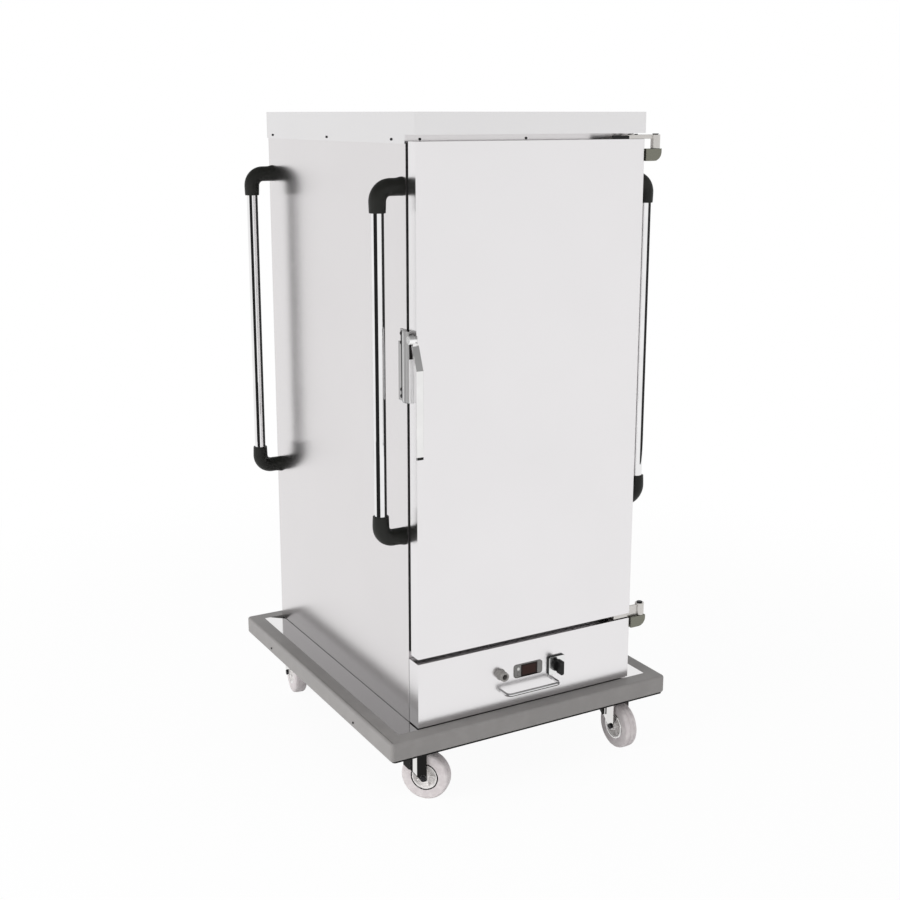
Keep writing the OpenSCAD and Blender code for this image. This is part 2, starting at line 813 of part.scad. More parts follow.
module cable_gland() {
    r = gland_d / 2;
    nut_h = 5;
    color([0.45, 0.45, 0.44]) seat() translate([-gland_x, 0, gland_z])
        rotate([90, 0, 0]) difference() {
            union() {
                cylinder(r = r + 2, h = nut_h, $fn = 6);
                translate([0, 0, -8]) cylinder(r = r - 3.1, h = 10);
                translate([0, 0, nut_h - 1]) cylinder(r = r - 0.4, h = 6);
                translate([0, 0, nut_h + 4.5]) cylinder(r = r - 1.6, h = 2.5);
                translate([0, 0, nut_h + 6.5]) cylinder(r = r + 0.2, h = 2.5);
                translate([0, 0, nut_h + 8.5]) cylinder(r = r - 0.6, h = gland_len - nut_h - 8.5);
            }
            translate([0, 0, -9]) cylinder(d = gland_bore, h = gland_len + 10);
        }
}

// Bent rod pull, with its feet in the panel.
module drawer_pull() {
    r = pull_d / 2;
    color(bright) seat() translate([pull_x, 0, pull_z]) both_sides() {
        rod_out([pull_w / 2, -0.2, 0], r, pull_out - pull_bend - 0.2);
        rod_out([pull_w / 2, 6, 0], r - 2.1, 7);
        translate([pull_w / 2 - pull_bend, -pull_out + pull_bend, 0]) rotate([0, 0, -90])
            rotate_extrude(angle = 90) translate([pull_bend, 0]) circle(r);
        rod_x([-eps, -pull_out, 0], r, pull_w / 2 - pull_bend + eps);
    }
}

module fan_motor() {
    color([0.35, 0.35, 0.37]) seat() translate([0, duct_in[0], drawer_floor]) {
        cylinder(d = motor_d, h = motor_h);
        for (a = [45 : 90 : 315]) rotate([0, 0, a])
            block([0, -8, 0], [motor_d / 2 + 16, 8, 4]);
        cylinder(d = shaft_d, h = motor_h + fan_gap + fan_h + 4);
    }
}

module fan_wheel() {
    r = fan_d / 2;
    blades = 10;
    color([0.6, 0.6, 0.62]) seat() translate([0, duct_in[0], drawer_floor + motor_h + fan_gap])
        difference() {
        union() {
            cylinder(r = r, h = 2);
            cylinder(r = 16, h = fan_h);
            for (i = [0 : blades - 1]) rotate([0, 0, i * 360 / blades])
                translate([r * 0.45, 0, 0]) rotate([0, 0, 35])
                block([0, -0.8, 1], [r * 0.55, 0.8, fan_h]);
        }
        translate([0, 0, -1]) cylinder(d = shaft_d + 2 * run_gap, h = fan_h + 2);
    }
}

// Ring element on three posts that stand on the drawer's floor.
module heating_element() {
    r = element_ring / 2;
    ring_z = 90;
    post_d = element_d + 4;
    color([0.4, 0.37, 0.35]) seat() translate([0, duct_in[0], drawer_floor]) {
        translate([0, 0, ring_z]) rotate_extrude() translate([r, 0]) circle(d = element_d);
        for (a = [90 : 120 : 330]) rotate([0, 0, a]) translate([r, 0, 0])
            cylinder(d = post_d, h = ring_z + element_d);
    }
}

// ---------- tray racks ----------

module rack_uprights() {
    x1 = liner_x - liner_t;
    color(bright) seat() both_sides() for (y = upright_y)
        block([upright_in, y, liner_low], [x1, y + upright_w, rack_top]);
}

module tray_runners() {
    y0 = (upright_y[0] + upright_y[1] + upright_w - runner_len) / 2;
    color(bright) seat() both_sides() for (i = [0 : levels - 1]) {
        z = first_level + i * pitch;
        block([upright_in - runner_reach, y0, z - runner_t], [upright_in, y0 + runner_len, z]);
        block([upright_in - runner_t, y0, z - runner_lip], [upright_in, y0 + runner_len, z]);
    }
}

// ---------- castors ----------

// Puts a castor's parts at its pivot; x runs along its heading.
module at_castor(i) {
    c = castors[i];
    translate([c[0], c[1] - y_mid, 0]) rotate([0, 0, c[2]]) children();
}

module castor_plates() {
    color([0.75, 0.75, 0.76]) for (c = castors)
        translate([c[0], c[1] - y_mid, 0]) {
            translate([-48, -42, castor_top - plate_t]) cube([96, 84, plate_t]);
            translate([0, 0, crown_z + 8]) cylinder(r = race_r + 4, h = castor_top - plate_t - crown_z - 8);
            translate([0, 0, crown_z - 3]) cylinder(r = kingpin_r, h = castor_top - crown_z);
            translate([0, 0, crown_z - 4.3]) cylinder(r = 10, h = 4);
        }
}

module castor_bolts() {
    color([0.3, 0.3, 0.3]) for (c = castors)
        translate([c[0], c[1] - y_mid, 0]) for (sx = [-1, 1]) for (sy = [-1, 1])
            translate([sx * 38, sy * 32, castor_top - plate_t - 5]) cylinder(r = 6.5, h = 5, $fn = 6);
}

// Pressed fork: crown with a bearing race and two legs down to the axle.
module fork(i) {
    front = trail + 9;
    color([0.78, 0.78, 0.79]) at_castor(i) difference() {
        union() {
            translate([0, 0, crown_z]) cylinder(r = fork_w - 0.5, h = fork_t);
            translate([0, 0, crown_z + fork_t - eps]) cylinder(r = race_r, h = 4.2);
            // legs: upright in front of the axle, slanted behind it
            for (s = [-1, 1]) translate([0, s * (fork_w - fork_t / 2), 0]) rotate([90, 0, 0])
                translate([0, 0, -fork_t / 2]) linear_extrude(fork_t)
                polygon([[-14, crown_z + fork_t], [front, crown_z + fork_t], [front, axle_z - 5],
                    [trail + 5, axle_z - 9], [trail - 5, axle_z - 9], [trail - 10, axle_z - 5],
                    [trail - 21, axle_z + 6], [trail - 36, axle_z + 19], [trail - 51, axle_z + 31],
                    [-14, crown_z - 18]]);
            block([-14, -fork_w, crown_z], [trail - 4, fork_w, crown_z + fork_t]);
        }
        translate([0, 0, crown_z - 1]) cylinder(r = kingpin_r + run_gap, h = 20);
        translate([trail, 60, axle_z]) rotate([90, 0, 0]) cylinder(r = axle_d / 2, h = 120);
        if (castors[i][3]) translate([brake_x, 60, brake_z]) rotate([90, 0, 0])
            cylinder(r = brake_pin_r, h = 120);
    }
}

module axle(i) {
    color([0.15, 0.15, 0.15]) at_castor(i) translate([trail, 0, axle_z]) rotate([90, 0, 0]) {
        translate([0, 0, -fork_w]) cylinder(r = axle_d / 2, h = 2 * fork_w);
        for (s = [0, 1]) rotate([180 * s, 0, 0]) translate([0, 0, fork_w])
            cylinder(r = axle_cap_r, h = axle_cap_h);
    }
}

// Rim with a hub, a thin web and a raised flange.
module rim(i) {
    r = rim_d / 2;
    h = wheel_w / 2;
    color([0.72, 0.71, 0.7]) at_castor(i) translate([trail, 0, axle_z]) rotate([90, 0, 0])
        rotate_extrude() polygon([[axle_d / 2 + run_gap, -h - 3.5], [13, -h - 3.5], [14, -5],
            [r - 8, -5], [r - 6, -h + 1], [r - 1, -h + 1], [r - 1, -h + 4], [r, -h + 5],
            [r, h - 5], [r - 1, h - 4], [r - 1, h - 1], [r - 6, h - 1], [r - 8, 5],
            [14, 5], [13, h + 3.5], [axle_d / 2 + run_gap, h + 3.5]]);
}

module tyre(i) {
    r = wheel_d / 2;
    h = wheel_w / 2;
    flat = h - tyre_shoulder;
    color([0.7, 0.68, 0.68]) at_castor(i) translate([trail, 0, axle_z]) rotate([90, 0, 0])
        rotate_extrude() polygon([[rim_d / 2, -h + 5], [rim_d / 2 + 2, -h], [r - 12, -h],
            [r - 4, -h + 2.5], [r - 1, -h + 6], [r, -flat], [r, flat], [r - 1, h - 6],
            [r - 4, h - 2.5], [r - 12, h], [rim_d / 2 + 2, h], [rim_d / 2, h - 5]]);
}

// Brake: a slotted lever under the crown, pinned in the legs' front ends, with
// a shoe above the tyre, a pedal behind and a cheek outside each leg.
module brake(i) {
    cheek_in = fork_w + 0.3;
    cheek_t = 3.5;
    low = brake_z - brake_t / 2;
    top = brake_z + brake_t / 2;
    bar = [-36, -27];                       // cross piece behind the crown
    shoe = [13, 19];
    color(black) at_castor(i) {
        difference() {
            block([bar[1] - eps, -fork_in + 1.5, low], [brake_x + 4, fork_in - 1.5, top]);
            block([-brake_slot, -brake_slot, low - 1], [brake_slot, brake_slot, top + 1]);
        }
        block([shoe[0], -fork_in + 2, low - 3.5], [shoe[1], fork_in - 2, low + eps]);
        block([bar[0], -cheek_in - cheek_t, low - 5], [bar[1], cheek_in + cheek_t, top]);
        for (s = [-1, 1]) translate([0, s * (cheek_in + cheek_t / 2), 0]) rotate([90, 0, 0])
            translate([0, 0, -cheek_t / 2]) linear_extrude(cheek_t)
            polygon([[bar[1] - eps, top], [bar[1] - eps, low - 5], [-8, axle_z + 46],
                [-8, axle_z + 32], [8, axle_z + 19], [8, top]]);
        block([bar[0] - 45, -17, low - 5], [bar[0] + eps, 17, low + 1]);
        block([bar[0] - 45, -17, low - 5], [bar[0] - 40, 17, low + 3]);
        for (s = [-1, 1]) translate([brake_x, s * (fork_in + fork_t / 2 - 1), brake_z])
            rotate([90, 0, 0]) cylinder(r = brake_pin_r - run_gap, h = fork_t + 2, center = true);
    }
}

module fork_fl() { fork(0); }
module fork_fr() { fork(1); }
module fork_rl() { fork(2); }
module fork_rr() { fork(3); }
module axle_fl() { axle(0); }
module axle_fr() { axle(1); }
module axle_rl() { axle(2); }
module axle_rr() { axle(3); }
module rim_fl() { rim(0); }
module rim_fr() { rim(1); }
module rim_rl() { rim(2); }
module rim_rr() { rim(3); }
module tyre_fl() { tyre(0); }
module tyre_fr() { tyre(1); }
module tyre_rl() { tyre(2); }
module tyre_rr() { tyre(3); }
module brake_fl() { brake(0); }
module brake_fr() { brake(1); }

top_cap();
outer_shell();
inner_liner();
insulation();
front_frame();
bay_ceiling();
deck_plate();
chassis();
bumper();
bumper_screws();
body_screws();
handle_tubes();
handle_elbows();
hinge_brackets();
hinge_pins();
hinge_arms();
hinge_arm_screws();
door_skin();
door_liner();
door_core();
door_gasket();
latch_strike();
latch_housing();
latch_pin();
latch_lever();
control_panel();
drawer_tray();
thermostat_bezel();
thermostat_display();
key_up();
key_down();
switch_plate();
switch_knob();
cable_gland();
drawer_pull();
fan_motor();
fan_wheel();
heating_element();
rack_uprights();
tray_runners();
castor_plates();
castor_bolts();
fork_fl();
fork_fr();
fork_rl();
fork_rr();
axle_fl();
axle_fr();
axle_rl();
axle_rr();
rim_fl();
rim_fr();
rim_rl();
rim_rr();
tyre_fl();
tyre_fr();
tyre_rl();
tyre_rr();
brake_fl();
brake_fr();
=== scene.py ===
"""Looks for the enclosed meal tray cart: materials, softened sheet edges and small fittings.

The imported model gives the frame. Metres, +Z up, the door faces -Y.
"""
import json
import math

import bpy
from mathutils import Matrix, Vector

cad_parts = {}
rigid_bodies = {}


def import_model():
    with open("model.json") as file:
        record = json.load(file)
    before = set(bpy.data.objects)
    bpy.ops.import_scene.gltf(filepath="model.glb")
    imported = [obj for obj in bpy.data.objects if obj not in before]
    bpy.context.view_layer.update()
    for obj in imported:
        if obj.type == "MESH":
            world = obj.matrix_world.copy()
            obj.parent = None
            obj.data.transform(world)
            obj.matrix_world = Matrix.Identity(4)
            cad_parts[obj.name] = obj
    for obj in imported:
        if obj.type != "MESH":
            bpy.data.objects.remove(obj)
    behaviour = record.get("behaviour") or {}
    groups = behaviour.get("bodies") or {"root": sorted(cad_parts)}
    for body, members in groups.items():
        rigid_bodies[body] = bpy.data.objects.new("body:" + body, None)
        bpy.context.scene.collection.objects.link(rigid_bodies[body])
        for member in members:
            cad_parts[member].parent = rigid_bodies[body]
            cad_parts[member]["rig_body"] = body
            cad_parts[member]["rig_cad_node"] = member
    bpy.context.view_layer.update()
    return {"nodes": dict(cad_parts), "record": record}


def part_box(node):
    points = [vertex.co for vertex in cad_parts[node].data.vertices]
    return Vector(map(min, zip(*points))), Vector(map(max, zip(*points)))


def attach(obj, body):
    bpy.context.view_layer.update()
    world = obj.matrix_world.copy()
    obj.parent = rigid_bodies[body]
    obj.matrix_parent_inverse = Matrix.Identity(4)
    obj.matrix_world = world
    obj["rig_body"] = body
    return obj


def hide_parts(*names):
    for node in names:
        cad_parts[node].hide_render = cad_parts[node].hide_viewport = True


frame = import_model()
nodes = frame["nodes"]
joints = {j["name"]: j for j in frame["record"]["behaviour"]["joints"]}
MM = 0.001

# the model's own zero lines: the door's front face and the top of the deck
DOOR_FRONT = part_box("door_skin")[0][1]
DECK_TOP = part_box("deck_plate")[1][2]
HALF_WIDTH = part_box("door_skin")[1][0]


def spot(x, y, z):
    """A point from millimetres: right of the middle, behind the door's front, above the deck."""
    return Vector((x * MM, DOOR_FRONT + y * MM, DECK_TOP + z * MM))


# ---------- shader maths ----------


class Value:
    """One socket of a shader, on which Python's operators add Math nodes."""

    def __init__(self, shader, socket):
        self.shader = shader
        self.socket = socket

    def math(self, operation, other=None, swap=False):
        pair = [other, self] if swap else [self, other]
        if other is None:
            pair = [self]
        return self.shader.add("ShaderNodeMath", {"operation": operation}, dict(enumerate(pair)))

    def __add__(self, other):
        return self.math("ADD", other)

    def __sub__(self, other):
        return self.math("SUBTRACT", other)

    def __mul__(self, other):
        return self.math("MULTIPLY", other)

    def __truediv__(self, other):
        return self.math("DIVIDE", other)

    def __rsub__(self, other):
        return self.math("SUBTRACT", other, swap=True)

    __radd__ = __add__
    __rmul__ = __mul__

    def absolute(self):
        return self.math("ABSOLUTE")

    def larger(self, other):
        return self.math("MAXIMUM", other)

    def between(self, low, high):
        """0 at low and 1 at high, smooth in between and clamped."""
        return self.shader.add(
            "ShaderNodeMapRange",
            {"interpolation_type": "SMOOTHSTEP"},
            {"Value": self, "From Min": low, "From Max": high},
            "Result",
        )


class Shader:
    """A node tree, with one method that adds any kind of node."""

    def __init__(self, tree):
        self.tree = tree

    def plug(self, value, socket):
        if isinstance(value, Value):
            self.tree.links.new(value.socket, socket)
        else:
            socket.default_value = value

    def add(self, kind, settings=None, inputs=None, output=0):
        """A node of any kind, with its settings, its sockets' values or links, and one output."""
        node = self.tree.nodes.new(kind)
        for key, value in (settings or {}).items():
            setattr(node, key, value)
        for key, value in (inputs or {}).items():
            self.plug(value, node.inputs[key])
        return Value(self, node.outputs[output])

    def ray(self, kind):
        return self.add("ShaderNodeLightPath", output=kind)

    def seen_directly(self):
        """1 for rays from the camera, from a mirror or through glass."""
        mirrored = self.ray("Is Glossy Ray").larger(self.ray("Is Transmission Ray"))
        return self.ray("Is Camera Ray").larger(mirrored)


class Finish(Shader):
    """A material with a Principled shader, and methods that add its nodes."""

    def __init__(self, name, color, roughness, metallic=0.0, **constants):
        self.material = bpy.data.materials.new(name)
        self.material.use_nodes = True
        self.material.diffuse_color = (*color, 1)
        super().__init__(self.material.node_tree)
        self.shader = self.tree.nodes["Principled BSDF"]
        self.set("Base Color", (*color, 1))
        self.set("Roughness", roughness)
        self.set("Metallic", metallic)
        for socket, value in constants.items():
            self.set(socket.replace("_", " "), value)

    def set(self, socket, value):
        self.plug(value, self.shader.inputs[socket])

    def surface(self, value):
        self.plug(value, self.tree.nodes["Material Output"].inputs["Surface"])

    def axis(self, name):
        place = self.add("ShaderNodeTexCoord", output="Object")
        return self.add("ShaderNodeSeparateXYZ", None, {0: place}, name)

    def noise(self, scale, detail=3.0, stretch=(1, 1, 1), roughness=0.55):
        """Noise in metres, from 0 to 1, drawn out along the axes with a small stretch."""
        place = self.add("ShaderNodeTexCoord", output="Object")
        place = self.add("ShaderNodeMapping", None, {"Vector": place, "Scale": stretch})
        return self.add(
            "ShaderNodeTexNoise", None,
            {"Vector": place, "Scale": scale, "Detail": detail, "Roughness": roughness},
            "Fac",
        )

    def blend(self, mask, low, high):
        """Mixes two colours by a mask."""
        return self.add(
            "ShaderNodeMix", {"data_type": "RGBA"},
            {0: mask, 6: (*low, 1), 7: (*high, 1)}, 2,
        )

    def bump(self, height, distance, strength=1.0):
        self.set("Normal", self.add(
            "ShaderNodeBump", None,
            {"Strength": strength, "Distance": distance, "Height": height}, "Normal",
        ))


# ---------- finishes ----------


def brushed(name, color, roughness, grain=(1, 1, 60), depth=0.000002, smudge=0.03, **constants):
    """Satin sheet metal: fine parallel grain, faint smudges and slow changes of tone."""
    f = Finish(name, color, roughness, 1.0, **constants)
    lines = f.noise(55, 2, grain)
    fine = f.noise(240, 2, grain)
    cloud = f.noise(3.1, 2)
    shade = lines * 0.3 + fine * 0.2 + cloud * 0.5
    dark = tuple(c * 0.965 for c in color)
    f.set("Base Color", f.blend(shade.between(0.3, 0.7), dark, color))
    f.set("Roughness", roughness + (cloud - 0.5) * smudge * 2 + (lines - 0.5) * smudge)
    f.bump(lines * 0.6 + fine * 0.4, depth)
    return f.material


def polished(name, color, wave=0.00001):
    """Mirror-bright metal with faint waves and a few cloudy patches."""
    f = Finish(name, color, 0.0, 1.0)
    patch = f.noise(14, 3)
    dark = tuple(c * 0.94 for c in color)
    f.set("Base Color", f.blend(patch.between(0.35, 0.7), dark, color))
    f.bump(f.noise(38, 1), wave)
    return f.material


def moulded(name, color, roughness, grain=900, depth=0.00002, wear=1.25, **constants):
    """Moulded plastic or rubber: a fine leathery grain and slightly rubbed high spots."""
    f = Finish(name, color, roughness, 0.0, **constants)
    pores = f.noise(grain, 2)
    patch = f.noise(22, 3)
    light = tuple(min(1.0, c * wear) for c in color)
    f.set("Base Color", f.blend(patch.between(0.35, 0.75), color, light))
    f.set("Roughness", roughness + (patch - 0.5) * 0.12 + (pores - 0.5) * 0.08)
    f.bump(pores, depth)
    return f.material


UPRIGHT_GRAIN = (60, 60, 1)
door_sheet = brushed("satin_door_sheet", (0.825, 0.81, 0.818), 0.23, UPRIGHT_GRAIN)
# painted shade: the walls, front frame and bay ceiling are the door's satin steel painted darker, for the
# shade on the cabinet's sides
wall_sheet_painted_shade = brushed("satin_wall_sheet", (0.745, 0.725, 0.73), 0.23, UPRIGHT_GRAIN)
cap_sheet = brushed("satin_cap_sheet", (0.775, 0.765, 0.77), 0.22, (1, 60, 60))
liner_sheet = brushed("liner_sheet", (0.72, 0.715, 0.72), 0.26, UPRIGHT_GRAIN)
deck_sheet = brushed("deck_sheet", (0.82, 0.81, 0.81), 0.1, (60, 1, 60))
# painted shade: the chassis and castor plates are painted near black, for the shade under the deck
chassis_steel_in_shade = brushed("chassis_steel_in_shade", (0.10, 0.098, 0.095), 0.5, (1, 60, 60))
latch_sheet = brushed("latch_sheet", (0.40, 0.395, 0.395), 0.24, (20, 20, 1))
bright_plate = brushed("bright_plate", (0.80, 0.80, 0.80), 0.2, (20, 20, 1))
bright_edge = brushed("bright_edge", (0.97, 0.97, 0.97), 0.35, (20, 20, 1))
mirror_tube = polished("polished_tube", (0.86, 0.855, 0.86))
mirror_strip = polished("polished_strip", (0.85, 0.845, 0.84), 0.000004)
mirror_zinc = polished("bright_zinc", (0.80, 0.79, 0.78), 0.00003)
hinge_cast = brushed("hinge_casting", (0.62, 0.60, 0.575), 0.28, (8, 8, 8), 0.00001, 0.08)
# painted shade: the hinge brackets are painted dark olive grey, far below the arms' casting, for the shade
# they sit in
shaded_bracket_cast = brushed("bracket_casting", (0.20, 0.20, 0.165), 0.26, (8, 8, 8), 0.00001, 0.08)
zinc_plate = brushed("zinc_plate", (0.62, 0.615, 0.60), 0.24, (12, 12, 12), 0.00001, 0.08)
element_sheath = brushed("element_sheath", (0.30, 0.27, 0.25), 0.45, (20, 20, 20), 0.00002, 0.1)
black_screw = brushed("black_screw", (0.03, 0.03, 0.032), 0.4, (20, 20, 20), 0.00001, 0.08)
handle_black = moulded("handle_black", (0.0075, 0.0078, 0.0065), 0.5, 1400, 0.00001, 1.5,
                       Specular_IOR_Level=0.28)
knob_black = moulded("knob_black", (0.006, 0.006, 0.006), 0.42, 1600, 0.00001, 1.5,
                     Specular_IOR_Level=0.25)
# painted shade: dark grey of the thin line along the cabinet's foot
foot_shade_grey = moulded("foot_shade_grey", (0.10, 0.097, 0.095), 0.6, 700, 0.00002)
gasket_black = moulded("gasket_black", (0.010, 0.0095, 0.0095), 0.7, 700, 0.00003,
                       Specular_IOR_Level=0.2)
bumper_rubber = moulded("bumper_grey", (0.235, 0.225, 0.22), 0.46, 420, 0.00004, 1.1)
bezel_grey = moulded("bezel_grey", (0.17, 0.165, 0.16), 0.42, 1200, 0.00002, 1.2)
gland_grey = moulded("gland_grey", (0.25, 0.24, 0.23), 0.5, 1200, 0.00002, 1.15)
# painted highlight: the upper key is painted light grey, while the same key below keeps the bezel's grey
key_up_painted_highlight = moulded("key_up_painted_highlight", (0.62, 0.62, 0.60), 0.4, 1500, 0.00001, 1.2)
motor_paint = moulded("motor_paint", (0.06, 0.06, 0.065), 0.45, 600, 0.00003)
rim_plastic = moulded("rim_plastic", (0.74, 0.72, 0.71), 0.3, 800, 0.00002, 1.1)
foam_core = moulded("foam_core", (0.82, 0.72, 0.45), 0.9, 260, 0.0006, 1.1)


def tread_rubber():
    """Pale grey tyre rubber, a little darker and dusty round the tread."""
    f = Finish("tyre_rubber", (0.60, 0.56, 0.56), 0.5)
    dust = f.noise(60, 4)
    pores = f.noise(500, 2)
    f.set("Base Color", f.blend(dust.between(0.35, 0.7), (0.565, 0.52, 0.525), (0.65, 0.61, 0.61)))
    f.set("Roughness", 0.46 + dust * 0.12)
    f.bump(pores * 0.4 + dust * 0.6, 0.00008)
    return f.material


def display_glass():
    """Dark red window of the thermostat, a little darker towards its edges."""
    f = Finish("display_window", (0.034, 0.014, 0.012), 0.25, 0.0, Specular_IOR_Level=0.12)
    lo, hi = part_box("thermostat_display")
    mid = (Vector(lo) + Vector(hi)) / 2
    across = (f.axis("X") - mid.x).absolute() / ((hi[0] - lo[0]) / 2)
    up = (f.axis("Z") - mid.z).absolute() / ((hi[2] - lo[2]) / 2)
    edge = across.between(0.72, 0.9) + up.between(0.6, 0.85)
    speck = f.noise(900, 2)
    f.set("Base Color", f.blend(edge.between(0.1, 0.9), (0.033, 0.014, 0.011), (0.018, 0.010, 0.009)))
    f.set("Roughness", 0.18 + speck * 0.06)
    return f.material


tyre_rubber = tread_rubber()
display_window = display_glass()

FINISHES = {
    door_sheet: "door_skin control_panel",
    wall_sheet_painted_shade: "outer_shell front_frame bay_ceiling",
    cap_sheet: "top_cap",
    liner_sheet: "inner_liner door_liner rack_uprights tray_runners drawer_tray",
    deck_sheet: "deck_plate",
    latch_sheet: "latch_strike latch_housing",
    chassis_steel_in_shade: "chassis castor_plates",
    mirror_tube: "handle_tubes drawer_pull",
    mirror_strip: "latch_lever",
    mirror_zinc: "fork_fl fork_fr fork_rl fork_rr",
    hinge_cast: "hinge_arms",
    shaded_bracket_cast: "hinge_brackets",
    zinc_plate: "castor_bolts fan_wheel",
    black_screw: "hinge_pins hinge_arm_screws body_screws bumper_screws latch_pin "
                 "axle_fl axle_fr axle_rl axle_rr",
    foam_core: "insulation door_core",
    bumper_rubber: "bumper",
    handle_black: "handle_elbows brake_fl brake_fr",
    knob_black: "switch_knob switch_plate",
    gasket_black: "door_gasket",
    bezel_grey: "thermostat_bezel key_down",
    gland_grey: "cable_gland",
    key_up_painted_highlight: "key_up",
    motor_paint: "fan_motor",
    element_sheath: "heating_element",
    display_window: "thermostat_display",
    rim_plastic: "rim_fl rim_fr rim_rl rim_rr",
    tyre_rubber: "tyre_fl tyre_fr tyre_rl tyre_rr",
}


def paint(piece, material):
    piece.data.materials.clear()
    piece.data.materials.append(material)


for finish, names in FINISHES.items():
    for name in names.split():
        paint(nodes[name], finish)

# ---------- modelling helpers ----------


def only(piece):
    """Makes one piece the whole selection."""
    bpy.ops.object.select_all(action="DESELECT")
    piece.select_set(True)
    bpy.context.view_layer.objects.active = piece


def keep(piece, name, body, material, slot, *stands_for, smooth=35):
    """Settles a finished piece: its place in its mesh, its finish and the body it rides on."""
    only(piece)
    bpy.ops.object.transform_apply(location=True, rotation=True, scale=True)
    piece.name = name
    paint(piece, material)
    bpy.ops.object.shade_smooth_by_angle(angle=math.radians(smooth))
    level = piece.modifiers.new("level_faces", "WEIGHTED_NORMAL")
    level.keep_sharp = True
    level.weight = 80
    bpy.ops.object.modifier_apply(modifier=level.name)
    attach(piece, body)
    if stands_for:
        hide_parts(*stands_for)
    return piece


def apply_bevel(piece, width, segments=2, marked=None):
    """Rounds the sharp edges, or only those whose two ends pass a test."""
    only(piece)
    bevel = piece.modifiers.new("edges", "BEVEL")
    bevel.width = width
    bevel.segments = segments
    bevel.limit_method = "ANGLE"
    bevel.angle_limit = math.radians(35)
    bevel.use_clamp_overlap = True
    if marked:
        weights = piece.data.attributes.new("bevel_weight_edge", "FLOAT", "EDGE")
        ends = piece.data.vertices
        for edge in piece.data.edges:
            weights.data[edge.index].value = float(marked(*(ends[v].co for v in edge.vertices)))
        bevel.limit_method = "WEIGHT"
    bpy.ops.object.modifier_apply(modifier=bevel.name)


def copied(node):
    """A free copy of a CAD node, with its loose triangles merged into plain faces."""
    source = nodes[node]
    piece = source.copy()
    piece.data = source.data.copy()
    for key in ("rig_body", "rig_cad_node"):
        if key in piece:
            del piece[key]
    piece.parent = None
    piece.matrix_world = Matrix.Identity(4)
    bpy.context.scene.collection.objects.link(piece)
    only(piece)
    bpy.ops.object.mode_set(mode="EDIT")
    bpy.ops.mesh.select_all(action="SELECT")
    bpy.ops.mesh.remove_doubles(threshold=0.000002)
    bpy.ops.mesh.dissolve_limited(angle_limit=math.radians(0.5))
    bpy.ops.object.mode_set(mode="OBJECT")
    return piece


SLOT_OF = {part["node"]: part["material_slot"] for part in frame["record"]["subparts"]}
BODIES = frame["record"]["behaviour"]["bodies"]
BODY_OF = {node: body for body, members in BODIES.items() for node in members}


def softened(node, width=0.0, segments=2, marked=None, smooth=35):
    """A copy of a CAD node whose edges are broken, which stands for the node."""
    piece = copied(node)
    if width:
        apply_bevel(piece, width, segments, marked)
    return keep(piece, node + "_soft", BODY_OF[node], nodes[node].data.materials[0], SLOT_OF[node], node,
                smooth=smooth)


def as_mesh(curve_object):
    only(curve_object)
    bpy.ops.object.convert(target="MESH")
    return bpy.context.view_layer.objects.active


def new_curve(name, points, closed=False, flat=False, radii=None):
    """A curve object of straight steps through points."""
    data = bpy.data.curves.new(name, "CURVE")
    data.dimensions = "2D" if flat else "3D"
    spline = data.splines.new("POLY")
    spline.points.add(len(points) - 1)
    for i, point in enumerate(points):
        spline.points[i].co = (*point, 0, 1)[:4] if len(point) == 2 else (*point, 1)
        spline.points[i].radius = radii[i] if radii else 1.0
    spline.use_cyclic_u = closed
    piece = bpy.data.objects.new(name, data)
    bpy.context.scene.collection.objects.link(piece)
    return piece


def bent_rod(name, points, radius, radii=None, sides=8):
    """A round rod along points, with closed ends; radii scale it from point to point."""
    piece = new_curve(name, points, radii=radii)
    piece.data.bevel_depth = radius
    piece.data.bevel_resolution = sides
    piece.data.use_fill_caps = True
    return as_mesh(piece)


def cut_plate(name, outline, thickness, edge=0.0):
    """A flat plate of an outline in X and Y, with its edges rounded, thick along Z."""
    piece = new_curve(name, outline, closed=True, flat=True)
    piece.data.fill_mode = "BOTH"
    piece.data.extrude = thickness / 2 - edge
    piece.data.bevel_depth = edge
    piece.data.bevel_resolution = 2
    piece.data.offset = -edge
    piece = as_mesh(piece)
    only(piece)
    bpy.ops.object.mode_set(mode="EDIT")
    bpy.ops.mesh.select_all(action="SELECT")
    bpy.ops.mesh.remove_doubles(threshold=0.000002)
    bpy.ops.mesh.normals_make_consistent(inside=False)
    bpy.ops.object.mode_set(mode="OBJECT")
    return piece


def turned(name, profile, steps=72):
    """A lathe shape from its closed profile of (radius, place along Z)."""
    piece = as_mesh(new_curve(name, [(r, 0.0, z) for r, z in profile], closed=True))
    bpy.ops.object.mode_set(mode="EDIT")
    bpy.ops.mesh.select_all(action="SELECT")
    bpy.ops.mesh.spin(steps=steps, angle=math.tau, center=(0, 0, 0), axis=(0, 0, 1))
    bpy.ops.mesh.select_all(action="SELECT")
    bpy.ops.mesh.remove_doubles(threshold=0.000002)
    bpy.ops.mesh.normals_make_consistent(inside=False)
    bpy.ops.object.mode_set(mode="OBJECT")
    return piece


def arc(middle, radius, start, end, steps=8):
    """Points along an arc in a plane, angles in degrees."""
    points = []
    for i in range(steps + 1):
        angle = math.radians(start + (end - start) * i / steps)
        points.append((middle[0] + radius * math.cos(angle), middle[1] + radius * math.sin(angle)))
    return points


def rounded_outline(width, height, radius, steps=6):
    """A rectangle with round corners, about the origin."""
    x, y = width / 2 - radius, height / 2 - radius
    outline = []
    for i, (sx, sy) in enumerate(((1, 1), (-1, 1), (-1, -1), (1, -1))):
        outline += arc((sx * x, sy * y), radius, 90 * i, 90 * i + 90, steps)
    return outline


# turns a plate drawn in X and Y upright, facing the door's way
FACING_FRONT = Matrix.Rotation(math.pi / 2, 4, "X")

# ---------- cabinet and door ----------


def make_cabinet():
    for node in ("top_cap", "door_skin", "control_panel", "outer_shell"):
        softened(node, 1.2 * MM)
    softened("front_frame")
    softened("door_gasket", 2 * MM)


